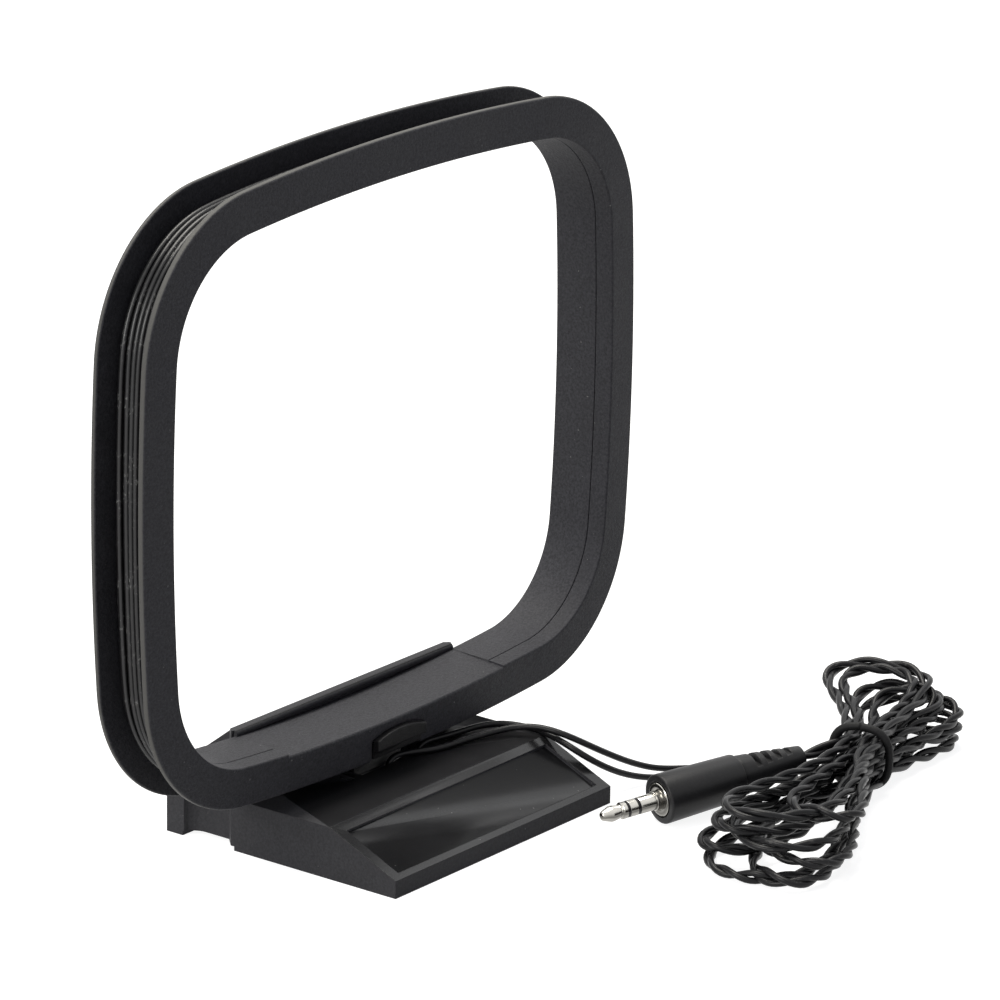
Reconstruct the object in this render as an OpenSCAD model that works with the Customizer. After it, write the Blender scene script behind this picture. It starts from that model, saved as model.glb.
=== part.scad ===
// Radio loop antenna: a wound bobbin loop standing in a wedge stand,
// with a twisted lead tied in a hank and a 3.5 mm plug.
// Millimetres, +Z up. The origin is the middle of the stand's footprint on the floor,
// -Y is the front, and the loop stands in a plane parallel to XZ.

/* [Loop] */
// Width over the flanges
loop_w = 172.5; // [150:0.5:200]
// Height over the flanges
loop_h = 143.8; // [125:0.2:170]
// Depth over the two flanges
loop_depth = 15.1; // [14.6:0.1:19]
// Height of the loop's lowest point above the floor
loop_lift = 15.7; // [15.2:0.1:18]
// Radius of the gently bowed left and right sides
side_r = 530; // [350:10:900]
// Radius of the gently bowed top
top_r = 610; // [400:10:900]
// Radius of the gently bowed bottom
bottom_r = 635; // [520:5:900]
// Height of the widest point above the loop's bottom
widest_h = 74.8; // [65:0.2:85]
// Radius of the upper outer corners
top_corner_r = 36; // [26:0.5:45]
// Radius of the lower outer corners
bottom_corner_r = 34.5; // [26:0.5:45]
// Width of a flange, from its outer edge to the window
flange_w = 9.2; // [8.6:0.1:12]
// Thickness of a flange
flange_t = 1.8; // [1.2:0.1:2.2]
// Thickness of the wall that the wire is wound on
core_t = 1.0; // [0.8:0.1:1.3]
// Depth of the front half's band inside the window
front_band = 3.9; // [2.5:0.1:6]
// Half length of the plain floor, where the rear half's liner stops
floor_half = 39.2; // [30:0.2:46]

/* [Winding] */
// Outside diameter of the wire
wire_d = 1.25; // [1:0.05:1.3]
// Turns in the channel
winding_turns = 5; // [3:1:5]
// Space between the winding and each flange
winding_side = 0.8; // [0.5:0.05:0.9]
// Half the distance between the two tail anchors
tail_half = 6; // [4:0.5:12]

/* [Stand] */
// Width of the stand
stand_w = 78; // [72:0.5:90]
// Depth of the stand, front to back
stand_d = 65.6; // [60:0.2:80]
// Height of the flat deck
deck_h = 12.2; // [11.6:0.1:12.6]
// Height of the front edge
front_h = 4.1; // [3:0.1:6]
// Depth of the sloping front panel
slope_d = 18.65; // [15:0.05:21]
// Distance from the stand's front to the loop's middle plane
loop_set = 38.7; // [37.5:0.1:40]
// Wall of the moulding
stand_wall = 2; // [1.6:0.1:2.4]
// Height of the rail at the top of the back rest
rail_h = 28.2; // [28.1:0.1:30]
// Radius of the bead along the rail, on which the loop tips back
bead_r = 0.9; // [0.7:0.05:1]
// Height of the back rest where its slope ends at the rear
heel_h = 14.4; // [10:0.2:20]
// Sunk depth of the front panel
panel_sink = 0.8; // [0.4:0.1:1.2]
// Rim left round the front panel at its sides
panel_rim = 3; // [2:0.1:6]
// Depth of the waist in the sides between body and heel
waist_in = 2.8; // [1.5:0.1:4]
// Length of the heel that stands on the floor
heel_len = 4.7; // [3.5:0.1:7]
// Lift of the underside between body and heel
waist_lift = 1; // [0.5:0.1:2]

/* [Claw] */
// Width of the claw's head
claw_w = 17; // [14:0.5:20]
// Height of the claw's lip above the loop's lowest point, at its ends
claw_rise = 5.4; // [4.8:0.1:5.6]
// Extra height of the lip in its middle
claw_arch = 1.3; // [0.6:0.1:1.5]
// Radius of the claw's hinge bead
claw_bead_r = 1; // [0.8:0.05:1]
// Thickness of the claw's arm
claw_arm_t = 1.4; // [1.1:0.1:1.6]
// Reach of the lip in front of the flange
lip_reach = 1.8; // [1.2:0.1:2.2]
// Overlap of the lip over the flange
lip_over = 0.8; // [0.5:0.1:1]
// Running clearance of the hinge bead
bead_gap = 0.05; // [0.02:0.01:0.09]
// Clearance between pieces that move
move_gap = 0.3; // [0.25:0.05:0.4]

/* [Plug] */
// Diameter of the contact stem
stem_d = 3.5; // [3.4:0.1:3.6]
// Length of the contact stem, tip to shoulder
stem_len = 15.2; // [14:0.1:17]
// Diameter of the grip at its front
grip_d = 11.6; // [10:0.1:13]
// Diameter of the grip at its rear
grip_rear_d = 10.6; // [9:0.1:11.5]
// Length of the grip
grip_len = 20.7; // [18:0.1:25]
// Length of the ribbed strain relief
relief_len = 17.8; // [14:0.1:22]
// Diameter of the strain relief at its end
relief_end_d = 5.6; // [4.6:0.1:6.5]

/* [Cord] */
// Outside diameter of the twisted pair
pair_d = 2.6; // [2.4:0.05:2.65]
// Loops in the hank
hank_loops = 8; // [8:4:8]
// Step between neighbouring runs at the waist and between layers
hank_step = 3.15; // [3.15:0.01:3.25]

/* [Hidden] */
$fn = 64;
fine = 720; // sides of the large discs
eps = 0.01;

// Places along Y
stand_front = -stand_d / 2;
stand_rear = stand_d / 2;
ridge_y = stand_front + slope_d;
loop_y = stand_front + loop_set;
front_y = loop_y - loop_depth / 2;
rear_y = loop_y + loop_depth / 2;
seam_y = front_y + front_band;
fit_gap = 0.05; // between the two bobbin halves
channel_front = front_y + flange_t;
channel_rear = rear_y - flange_t;

// Loop outline: four large discs and four corner discs, in the plane of the loop
loop_top = loop_lift + loop_h;
widest_z = loop_lift + widest_h;
side_c = [loop_w / 2 - side_r, widest_z];
top_c = [0, loop_top - top_r];
bottom_c = [0, loop_lift + bottom_r];
core_in = flange_w - 1.9; // inset of the wound face
liner_in = core_in + core_t; // inset where the rear half's liner starts

// Where two circles cross, on the given side of the line between their centres
function cross_at(a, ra, b, rb, s) =
    let (d = norm(b - a), e = (b - a) / d, x = (ra * ra - rb * rb + d * d) / (2 * d))
    a + e * x + s * sqrt(ra * ra - x * x) * [-e[1], e[0]];
corner_hi = cross_at(side_c, side_r - top_corner_r, top_c, top_r - top_corner_r, 1);
corner_lo = cross_at(side_c, side_r - bottom_corner_r, bottom_c, bottom_r - bottom_corner_r, -1);
function bearing(v) = atan2(v[1], v[0]);
hi_from = bearing(corner_hi - side_c); // normals of the upper right corner
hi_to = bearing(corner_hi - top_c);
lo_from = bearing(corner_lo - bottom_c); // normals of the lower right corner
lo_to = bearing(corner_lo - side_c);

// Back rest and rail
rest_y = rear_y + move_gap; // front face of the back rest
bead_y = rear_y + 0.1;
bead_z = rail_h - bead_r;
rail_back = rest_y + 1.4;
ledge_h = loop_lift - move_gap;

// Claw
claw_y = channel_front + 4.25; // hinge line
claw_z = deck_h - 1.2;
claw_half = claw_w / 2;
pin_half = claw_half + 1.6;
lip_z = loop_lift + claw_rise;
notch_gap = 0.35;
slot_half = 13.2;
slot_front = claw_y - claw_arm_t / 2 - 2.5;
slot_back = claw_y + claw_arm_t / 2 + 0.5;

// Plug: placed on the floor at its front rim, its tail resting a little higher
plug_tilt = 4.5;
plug_turn = -20;
shoulder = [35.4, -49.1, grip_d / 2 * cos(plug_tilt) + 0.02];
plug_dir = [cos(plug_tilt) * cos(plug_turn), cos(plug_tilt) * sin(plug_turn), sin(plug_tilt)];
relief_end = shoulder + (grip_len + relief_len) * plug_dir;
tip_end = 6.2; // lengths from the tip along the stem
ring_from = 6.9;
ring_to = 9.4;
sleeve_from = 10.1;
cavity_from = grip_len - 14; // hollow of the grip, from the shoulder
cavity_to = grip_len - 1;
core_d = 0.6; // bare conductor

// Hank: centre, direction and shape
hank_c = [82.4, -71.9];
hank_turn = 18;
hank_left = 58;
hank_right = 47;
hank_lobe = 18;
hank_bow_left = 325; // radius that the left lobe bends on
hank_bow_right = 195;
hank_fan = 4.6; // most that a layer turns from the hank's line
hank_slide = 2; // each layer reaches further to the right than the one below
hank_start = 100; // bearing on the loop where the cord comes in
hank_layers = 4;
per_layer = hank_loops / hank_layers;
hank_raise = 1.7; // the tie passes under the waist
hank_base = pair_d / 2 + 0.1;

// Tubes
function unit(v) = v / norm(v);
function tangent(p, i) = unit(p[min(i + 1, len(p) - 1)] - p[max(i - 1, 0)]);
function turned(n, t) = unit(n - (n * t) * t);
function frames(p, i, n) = i >= len(p) ? [] :
    let (m = turned(n, tangent(p, i))) concat([m], frames(p, i + 1, m));
function first_normal(t) = turned(abs(t[2]) < 0.9 ? [0, 0, 1] : [1, 0, 0], t);

// One unbroken tube along points, closed at both ends
module tube(p, d, sides) {
    k = len(p);
    f = frames(p, 0, first_normal(tangent(p, 0)));
    rings = [for (i = [0:k - 1]) let (t = tangent(p, i), b = cross(t, f[i]))
        for (j = [0:sides - 1]) p[i] + d / 2 * (cos(360 * j / sides) * f[i] + sin(360 * j / sides) * b)];
    skin = [for (i = [0:k - 2]) for (j = [0:sides - 1])
        let (a = i * sides + j, b = i * sides + (j + 1) % sides)
        for (s = [0, 1]) s == 0 ? [a, a + sides, b] : [b, a + sides, b + sides]];
    start = [for (j = [1:sides - 2]) [0, j, j + 1]];
    last = (k - 1) * sides;
    end = [for (j = [1:sides - 2]) [last, last + j + 1, last + j]];
    polyhedron(concat(rings, [p[0]]), concat(skin, start, end), convexity = 10);
}

// Smooth points through a route
function between(a, b, c, d, u) = 0.5 * (2 * b + (c - a) * u + (2 * a - 5 * b + 4 * c - d) * u * u
    + (3 * b - a - 3 * c + d) * u * u * u);
function route(p, n) = concat([for (i = [0:len(p) - 2]) for (k = [0:n - 1])
    between(p[max(i - 1, 0)], p[i], p[i + 1], p[min(i + 2, len(p) - 1)], k / n)], [p[len(p) - 1]]);

// Least gap of a tube to itself, on points at least half a turn apart
function self_gap(p, apart, d) = min([for (i = [0:len(p) - 1]) for (j = [i + apart:1:len(p) - 1])
    norm(p[i] - p[j])]) - d;

// Outline of the loop, drawn in from its outer edge by the inset
module corner_cut(v, a, b) {
    far = 3 * top_corner_r;
    polygon([v, v + far * unit(v - a), v + far * (unit(v - a) + unit(v - b)), v + far * unit(v - b)]);
}
module half_cuts() {
    corner_cut(corner_hi, side_c, top_c);
    corner_cut(corner_lo, side_c, bottom_c);
}
module outline(inset) {
    difference() {
        intersection() {
            translate(side_c) circle(side_r - inset, $fn = fine);
            mirror([1, 0]) translate(side_c) circle(side_r - inset, $fn = fine);
            translate(top_c) circle(top_r - inset, $fn = fine);
            translate(bottom_c) circle(bottom_r - inset, $fn = fine);
        }
        half_cuts();
        mirror([1, 0]) half_cuts();
    }
    for (s = [0, 1]) mirror([s, 0]) {
        translate(corner_hi) circle(top_corner_r - inset, $fn = fine / 4);
        translate(corner_lo) circle(bottom_corner_r - inset, $fn = fine / 4);
    }
}
// A ring of the loop between two insets, from one depth to another
module hoop(outer, inner, y0, y1) {
    translate([0, y1, 0]) rotate([90, 0, 0]) linear_extrude(y1 - y0) difference() {
        outline(outer);
        outline(inner);
    }
}
// Space over the plain floor at the bottom of the window
module floor_zone(half) {
    translate([-half, front_y - 1, 0]) cube([2 * half, loop_depth + 2, loop_lift + 2 * flange_w]);
}

// Head of the claw and its notch: straight sides and a bowed top
module arched(half, base, side_top, arch) {
    r = (half * half + arch * arch) / (2 * arch);
    translate([-half, base]) square([2 * half, side_top - base]);
    intersection() {
        translate([0, side_top + arch - r]) circle(r, $fn = fine);
        translate([-half, side_top - eps]) square([2 * half, arch + 2 * eps]);
    }
}
module arched_block(half, base, side_top, arch, y0, y1) {
    translate([0, y1, 0]) rotate([90, 0, 0]) linear_extrude(y1 - y0) arched(half, base, side_top, arch);
}

module front_bobbin_half() {
    color("#26262a") difference() {
        union() {
            hoop(0, flange_w, front_y, front_y + flange_t);
            hoop(core_in, flange_w, front_y, seam_y);
            hoop(core_in, liner_in, front_y, channel_rear - fit_gap);
            intersection() {
                hoop(core_in, flange_w, front_y, rear_y);
                floor_zone(floor_half - fit_gap);
            }
            for (s = [0, 1]) tail_anchor(s);
        }
        arched_block(claw_half + notch_gap, loop_lift - 2, lip_z - lip_over + notch_gap, claw_arch,
            front_y - 1, channel_front + eps);
    }
}

// Small block on the wound face where a tail of the winding ends
module tail_anchor(s) {
    y = s == 0 ? winding_y : winding_y + winding_pitch * winding_turns;
    x = s == 0 ? tail_half - wire_d : -tail_half + wire_d;
    w = 2 * wire_d;
    z0 = winding_z - wire_d;
    translate([x - (s == 0 ? w : 0), y - 0.75, z0]) cube([w, 1.5, loop_lift + core_in + 0.4 - z0]);
}

module rear_bobbin_half() {
    color("#1d1d20") difference() {
        union() {
            hoop(0, flange_w, channel_rear, rear_y);
            hoop(liner_in + fit_gap, flange_w, seam_y + fit_gap, rear_y);
        }
        intersection() {
            floor_zone(floor_half);
            translate([0, rear_y + 1, 0]) rotate([90, 0, 0]) linear_extrude(loop_depth + 2)
                outline(core_in - fit_gap);
        }
    }
}

// Winding: one wire, round and round the core
winding_in = core_in - wire_d / 2 - 0.375;
winding_y = channel_front + winding_side + wire_d / 2;
winding_pitch = (channel_rear - channel_front - 2 * winding_side - wire_d) / winding_turns;
winding_z = loop_lift + winding_in;
function on_disc(c, r, a) = c + (r - winding_in) * [cos(a), sin(a)];
function flip(v) = [-v[0], v[1]];
function arc_points(c, r, a0, a1, n) = [for (k = [0:n - 1]) on_disc(c, r, a0 + (a1 - a0) * (k + 0.5) / n)];
corner_n = 7;
side_n = 4;
right_up = concat(arc_points(bottom_c, bottom_r, -90, lo_from, side_n / 2),
    arc_points(corner_lo, bottom_corner_r, lo_from, lo_to, corner_n),
    arc_points(side_c, side_r, lo_to, hi_from, side_n),
    arc_points(corner_hi, top_corner_r, hi_from, hi_to, corner_n),
    arc_points(top_c, top_r, hi_to, 90, side_n / 2));
one_turn = concat(right_up, [for (k = [len(right_up) - 1:-1:0]) flip(right_up[k])]);
turn_n = len(one_turn);
winding_n = turn_n * winding_turns;
function lifted(v, k) = [v[0], winding_y + winding_pitch * winding_turns * k / winding_n, v[1]];
winding_end_y = winding_y + winding_pitch * winding_turns;
winding_points = concat(
    [[tail_half - wire_d, winding_y, winding_z], [tail_half, winding_y, winding_z]],
    [for (k = [0:winding_n - 1]) lifted(one_turn[k % turn_n], k + 0.5)],
    [[-tail_half, winding_end_y, winding_z], [-tail_half + wire_d, winding_end_y, winding_z]]);
echo(winding_gap = self_gap(winding_points, floor(turn_n / 2), wire_d));

module loop_winding() {
    color("#101012") tube(winding_points, wire_d, 6);
}

// Stand
slope_tan = (deck_h - front_h) / slope_d;
slope_a = atan(slope_tan);
rest_tan = (rail_h - heel_h) / (stand_rear - rail_back);
function slope_in(y) = front_h + slope_tan * (y - stand_front) - stand_wall / cos(slope_a);
function rest_in(y) = rail_h - rest_tan * (y - rail_back) - stand_wall * sqrt(1 + rest_tan * rest_tan);
deck_in = deck_h - stand_wall;
ridge_in = stand_front + (deck_in - front_h + stand_wall / cos(slope_a)) / slope_tan;
waist_y0 = rest_y + 0.4;
waist_y1 = stand_rear - heel_len;

module along_x(w) {
    translate([-w / 2, 0, 0]) rotate([90, 0, 90]) linear_extrude(w) children();
}
module stand_profile() {
    polygon([[stand_front, 0], [stand_front, front_h], [ridge_y, deck_h], [rest_y, deck_h],
        [rest_y, bead_z], [bead_y, rail_h], [rail_back, rail_h], [stand_rear, heel_h], [stand_rear, 0]]);
}
module stand_hollow() {
    f = stand_front + stand_wall;
    r = stand_rear - stand_wall;
    polygon([[f, -1], [f, slope_in(f)], [ridge_in, deck_in], [rest_y + stand_wall, deck_in],
        [rest_y + stand_wall, rest_in(rest_y + stand_wall)], [r, rest_in(r)], [r, -1]]);
}
// Waist in one side: a chamfer in, a straight run and a round flare out to the heel
module side_waist() {
    w = stand_w / 2;
    flare = waist_in + 1.6;
    translate([0, 0, -1]) linear_extrude(rail_h + 2) difference() {
        polygon([[-w - 1, waist_y0], [-w, waist_y0], [-w + waist_in, waist_y0 + waist_in],
            [-w + waist_in, waist_y1], [-w - 1, waist_y1]]);
        difference() {
            translate([-w - 2, waist_y1 - flare]) square([waist_in + 2, flare + 1]);
            translate([-w + waist_in - flare, waist_y1 - flare]) circle(flare, $fn = fine / 4);
        }
    }
}
// Sunk panel in the sloping front
module front_panel() {
    run = slope_d / cos(slope_a);
    translate([0, stand_front, front_h]) rotate([slope_a, 0, 0])
        translate([-stand_w / 2 + panel_rim, 1.9, -panel_sink])
            cube([stand_w - 2 * panel_rim, run - 4.4, panel_sink + 2]);
}
// Cheek that carries one end of the claw's hinge
module claw_cheek(s) {
    x0 = claw_half + 0.3;
    mirror([s, 0, 0]) translate([x0, slot_front - 1, claw_z - 2.2])
        cube([2.4, slot_back - slot_front + 2, 2.2 + deck_h - claw_z]);
}
// Shelf under the deck on which a lead starts
module lead_shelf(x) {
    translate([x - 1.4, slot_front - 2.5, shelf_z - 1.8])
        cube([2.8, claw_y - claw_arm_t / 2 - 0.6 - slot_front + 2.5, 1.8]);
}
shelf_z = deck_in + 0.3;
lead_left_x = 1.5;
lead_right_x = 11.9;

ledge_half = stand_w / 2 - 11;
ledge_d = 2.4;
module stand_base() {
    color("#2b2b2f") difference() {
        union() {
            difference() {
                along_x(stand_w) stand_profile();
                along_x(stand_w - 2 * (stand_wall + waist_in)) stand_hollow();
                translate([-slot_half, slot_front, deck_in - 1])
                    cube([2 * slot_half, slot_back - slot_front, stand_wall + 2]);
                for (s = [0, 1]) mirror([s, 0, 0]) side_waist();
                translate([-stand_w, waist_y0 - 1, -1]) cube([2 * stand_w, waist_y1 - waist_y0 + 1, 1 + waist_lift]);
                front_panel();
            }
            translate([-stand_w / 2 + 0.4, bead_y, bead_z]) rotate([0, 90, 0])
                cylinder(r = bead_r, h = stand_w - 0.8);
            translate([-ledge_half, rest_y - ledge_d, deck_in])
                cube([2 * ledge_half, ledge_d + stand_wall / 2, ledge_h - deck_in]);
            for (s = [0, 1]) claw_cheek(s);
            for (x = [lead_left_x, lead_right_x]) lead_shelf(x);
        }
        translate([-pin_half - 0.2, claw_y, claw_z]) rotate([0, 90, 0])
            cylinder(r = claw_bead_r + bead_gap, h = 2 * pin_half + 0.4);
    }
}

web_drop = 3.4;
web_h = 3;
tab_foot = 0.9;
lip_root = 1.6;
module snap_claw() {
    arm_half = claw_half - 0.2;
    web_z = lip_z - lip_over - web_drop;
    color("#2b2b2f") union() {
        translate([-pin_half, claw_y, claw_z]) rotate([0, 90, 0]) cylinder(r = claw_bead_r, h = 2 * pin_half);
        translate([-arm_half, claw_y - claw_arm_t / 2, claw_z])
            cube([2 * arm_half, claw_arm_t, lip_z - lip_over - claw_z - 0.4]);
        translate([-arm_half, front_y - move_gap, web_z])
            cube([2 * arm_half, claw_y - front_y + move_gap, web_h]);
        arched_block(claw_half, loop_lift + tab_foot, lip_z - lip_over, claw_arch, front_y - move_gap - eps, channel_front);
        arched_block(claw_half, lip_z - lip_over - lip_root, lip_z, claw_arch, front_y - lip_reach, front_y - move_gap);
    }
}

// Leads: from their shelves in the deck slot, over the stand's right edge and across the floor
deck_wire = deck_h + wire_d / 2 + 0.1;
floor_wire = wire_d / 2 + 0.05;
lead_y = slot_front + wire_d / 2 + move_gap;
lead_left_points = concat([[lead_left_x, lead_y, shelf_z], [lead_left_x, lead_y, shelf_z + wire_d],
    [2.1, lead_y, 12.7], [4, lead_y - 0.3, 13.3], [8.5, 0, 13.2], [14, -2.4, deck_wire], [22.5, -3.9, 13.1],
    [29, -6, 13.5], [33.5, -8.6, 14.1], [35.8, -12.5, 14.6], [36.6, -17, 14.7], [38.6, -21.5, 13.4],
    [43, -25, 10.4], [49.5, -27.3, 6.6], [56, -28.8, 3.4], [62, -31, 1.4], [71, -37.5, floor_wire],
    [79.5, -46, floor_wire]],
    [for (v = [[6.5, 17, floor_wire], [0.5, 13.6, 1], [-3.6, 10.1, 1.7], [-5.8, 7.4, 2.4]]) hank_place(v)]);
lead_right_points = concat([[lead_right_x, lead_y, shelf_z], [lead_right_x, lead_y, shelf_z + wire_d],
    [12.3, lead_y, 12.7], [13.4, lead_y - 0.05, 13.35], [16.5, 1.9, 13.3], [23, 1.2, deck_wire], [31.8, -0.6, 13.1],
    [36.2, -3.6, 13.2], [38, -8, 13.1], [38.4, -13, 13], [37.8, -18, 12.5], [37.3, -22.5, 11.6],
    [39, -26, 9.4], [44, -28.6, 5.9], [50, -30.4, 3], [56.5, -32.8, 1.2], [65, -38.2, floor_wire],
    [74.5, -47, floor_wire]],
    [for (v = [[2.5, 17.5, floor_wire], [-2.2, 14.4, 1], [-5, 11.5, 2.1], [-6.6, 8.9, 3]]) hank_place(v)]);

// Hank: loops drawn in at the waist, spiralling in and out in layers
function fold(u) = let (m = u % (2 * per_layer)) m < per_layer ? per_layer - m : m - per_layer;
function smooth(x) = let (c = max(0, min(1, x))) c * c * (3 - 2 * c);
function climb(u, w) = let (k = round(u / per_layer)) k <= 0 ? 0 : k >= hank_layers ? hank_layers - 1 :
    k - 1 + smooth((u - k * per_layer) / w + 0.5);
function bow(x, y) = let (q = x > 0 ? hank_bow_right : hank_bow_left, a = x / q * 180 / PI)
    [(q - y) * sin(a), q - (q - y) * cos(a)];
function hank_local(u) = let (t = hank_start + 360 * u, r = fold(u), c = cos(t), s = sin(t), layer = climb(u, 0.12),
        lean = hank_slide * (layer - (hank_layers - 1) / 2),
        reach = (c > 0 ? hank_right + lean : hank_left - lean) + 3.25 * r, wide = hank_lobe + 6 * r,
        a = hank_fan * sin(69 * climb(u, 0.1) + 200),
        p = bow(reach * c * cos(a), s * (0.75 + hank_step * r + wide * c * c) + reach * c * sin(a)))
    [p[0], p[1], hank_base + hank_step * layer + hank_raise * pow(s * s, 4)];
function hank_place(v) = [hank_c[0] + v[0] * cos(hank_turn) - v[1] * sin(hank_turn),
    hank_c[1] + v[0] * sin(hank_turn) + v[1] * cos(hank_turn), v[2]];
hank_rings = 24;
hank_last = hank_loops * hank_rings - 1;
hank_turns = [for (k = [0:hank_last]) hank_place(hank_local(k / hank_rings))];
hank_in = unit(hank_turns[1] - hank_turns[0]);
hank_first = hank_turns[0] - pair_d * hank_in;
tail_from = hank_turns[hank_last];
tail_dir = unit(hank_place(hank_local(hank_last / hank_rings + 0.002)) - tail_from);
function curve(a, b, c, d, u) = a * pow(1 - u, 3) + 3 * b * u * pow(1 - u, 2) + 3 * c * u * u * (1 - u) + d * pow(u, 3);
tail_to = relief_end + pair_d * plug_dir;
tail_points = [for (u = [0.14:0.14:0.99]) curve(tail_from, tail_from + 5 * tail_dir, tail_to + 3 * plug_dir, tail_to, u)];
hank_points = concat([hank_first], hank_turns, tail_points, [tail_to, relief_end]);
echo(hank_gap = self_gap(hank_points, hank_rings / 2, pair_d));
function path_len(p) = sum_to(p, len(p) - 1);
function sum_to(p, i) = i == 0 ? 0 : norm(p[i] - p[i - 1]) + sum_to(p, i - 1);
echo(hank_length = path_len(hank_points));

// The two leads end side by side on the face of the pair
side_step = wire_d / 2 + 0.1;
hank_side = unit(cross([0, 0, 1], hank_in));
function lead_path(p, s) = let (e = hank_first + s * side_step * hank_side)
    route(concat(p, [e - wire_d * hank_in, e]), 2);

module lead_wire_left() {
    color("#141416") tube(lead_path(lead_left_points, 1), wire_d, 8);
}
module lead_wire_right() {
    color("#141416") tube(lead_path(lead_right_points, -1), wire_d, 8);
}
module cord_hank() {
    color("#141416") tube(hank_points, pair_d, 6);
}

// Tie: a flat band round the waist of the hank
module rounded(w, h, r) {
    square([w - 2 * r, h], center = true);
    square([w, h - 2 * r], center = true);
    for (x = [-1, 1]) for (y = [-1, 1]) translate([x * (w / 2 - r), y * (h / 2 - r)]) circle(r);
}
tie_t = 1.1;
tie_w = 2;
tie_corner = 1.4;
tie_shift = 1.15;
bundle_w = 2 * (hank_step * per_layer + pair_d / 2) + 2.2;
bundle_h = hank_step * (hank_layers - 1) + pair_d + 0.7;
module hank_tie() {
    mid_z = hank_base + hank_raise + hank_step * (hank_layers - 1) / 2;
    color("#0e0e10") translate([hank_c[0], hank_c[1], mid_z]) rotate([0, 0, hank_turn])
        translate([-tie_w / 2, tie_shift, 0]) rotate([90, 0, 90]) linear_extrude(tie_w) difference() {
            rounded(bundle_w + 2 * tie_t, bundle_h + 2 * tie_t, tie_corner + tie_t);
            rounded(bundle_w, bundle_h, tie_corner);
        }
}

// Plug: turned pieces along one axis, measured from the shoulder
module on_plug() {
    translate(shoulder) rotate([0, -plug_tilt, plug_turn]) rotate([0, 90, 0]) children();
}
module turned_piece(p) {
    on_plug() rotate_extrude() polygon(p);
}
function from_tip(s) = s - stem_len;
stem_r = stem_d / 2;
rod_r = 0.45;
ring_tube_r = 0.85;
sleeve_in = ring_tube_r + 0.28;
sleeve_tail_r = 1.4; // sleeve inside the grip
ring_in = rod_r + 0.22;
tube_gap = 0.05;
rod_back = cavity_from + 7;
ring_back = cavity_from + 3.5;
sleeve_back = cavity_from + 1;
collar_r = 3.1;
collar_sink = 1.4;

module plug_grip() {
    r0 = grip_d / 2;
    r1 = grip_rear_d / 2;
    edge = 0.7;
    color("#18181a") turned_piece([[collar_r + 0.5, 0], [r0 - edge, 0], [r0, edge], [r1, grip_len],
        [2.4, grip_len], [2.4, cavity_to], [3.4, cavity_to], [3.4, cavity_from], [sleeve_tail_r + tube_gap, cavity_from],
        [sleeve_tail_r + tube_gap, collar_sink], [collar_r + 0.5, collar_sink]]);
}
module plug_strain_relief() {
    r0 = grip_rear_d / 2 - 0.5;
    r1 = relief_end_d / 2;
    wide = 0.62 * (r0 - r1);
    slot = 1.5;
    color("#18181a") difference() {
        turned_piece([[0, grip_len - 1], [2.3, grip_len - 1], [2.3, grip_len], [r0, grip_len],
            [r1 + wide, grip_len + 0.45 * relief_len], [r1, grip_len + relief_len], [0, grip_len + relief_len]]);
        on_plug() for (k = [0:3]) for (a = [0, 180]) rotate([0, 0, a])
            translate([relief_end_d / 2 - 0.3, -r0, grip_len + 4 + 3 * k]) cube([r0, 2 * r0, slot]);
        on_plug() for (a = [30, 210]) rotate([0, 0, a]) translate([0.9, 0, grip_len - 2]) cylinder(d = core_d + 0.1, h = 6);
    }
}
module jack_collar() {
    color("#c9c9c4") turned_piece([[sleeve_tail_r + tube_gap, 0.2], [collar_r - 0.5, 0.2], [collar_r, 0.7],
        [collar_r, collar_sink], [sleeve_tail_r + tube_gap, collar_sink]]);
}
module jack_sleeve() {
    r = sleeve_in;
    color("#d2d2cc") turned_piece([[r, from_tip(sleeve_from)], [stem_r, from_tip(sleeve_from)], [stem_r, 0],
        [sleeve_tail_r, 0], [sleeve_tail_r, sleeve_back], [r, sleeve_back]]);
}
module jack_ring() {
    r = ring_in;
    color("#d2d2cc") turned_piece([[r, from_tip(ring_from)], [stem_r, from_tip(ring_from)], [stem_r, from_tip(ring_to)],
        [ring_tube_r, from_tip(ring_to)], [ring_tube_r, ring_back], [r, ring_back]]);
}
module jack_tip() {
    color("#d2d2cc") turned_piece([[0, from_tip(0)], [0.45, from_tip(0)], [1.45, from_tip(1.9)], [1.45, from_tip(2.4)],
        [1.05, from_tip(3.5)], [1.05, from_tip(3.9)], [stem_r - 0.4, from_tip(4.6)], [stem_r, from_tip(4.8)],
        [stem_r, from_tip(tip_end)], [rod_r, from_tip(tip_end)], [rod_r, rod_back], [0, rod_back]]);
}
module insulator_front() {
    r = ring_in - tube_gap;
    color("#0c0c0d") turned_piece([[rod_r + tube_gap, from_tip(tip_end)], [stem_r, from_tip(tip_end)],
        [stem_r, from_tip(ring_from)], [r, from_tip(ring_from)], [r, ring_back + 0.6], [rod_r + tube_gap, ring_back + 0.6]]);
}
module insulator_rear() {
    r0 = ring_tube_r + tube_gap;
    r1 = sleeve_in - tube_gap;
    color("#0c0c0d") turned_piece([[r0, from_tip(ring_to)], [stem_r, from_tip(ring_to)], [stem_r, from_tip(sleeve_from)],
        [r1, from_tip(sleeve_from)], [r1, sleeve_back + 0.6], [r0, sleeve_back + 0.6]]);
}

// Bare ends of the two conductors inside the grip
module conductor(a, to) {
    color("#b87333") on_plug() rotate([0, 0, a]) translate([0.9, 0, to])
        cylinder(d = core_d, h = grip_len + 4 - to);
}
module conductor_tip() {
    conductor(30, rod_back - 1);
}
module conductor_sleeve() {
    conductor(210, rod_back - 1);
}

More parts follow.
